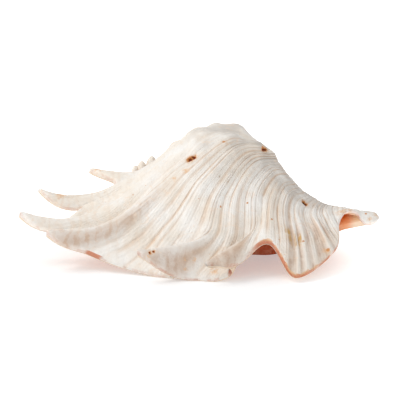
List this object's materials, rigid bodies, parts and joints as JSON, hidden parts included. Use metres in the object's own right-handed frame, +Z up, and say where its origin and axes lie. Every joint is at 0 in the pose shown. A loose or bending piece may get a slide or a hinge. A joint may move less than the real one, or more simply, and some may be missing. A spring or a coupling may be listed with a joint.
{
  "type": "spider conch shell",
  "caption": "Empty spider conch shell with a humped, corded back, a flared lip drawn out into curved fingers and an open canal, lying on its opening.",
  "frame": {"origin": "middle of the shell's bounding box at the surface it lies on", "axes": "+X towards the end of the canal, away from the spire; -Y towards the fingered outer lip; +Z up, with the opening facing down"},
  "size_m": [0.2984, 0.1864, 0.1051],
  "materials": {
    "shell": "chalky, worn calcium carbonate with a glossy orange inner side"
  },
  "bodies": {
    "root": {"shell": "shell"}
  },
  "joints": []
}
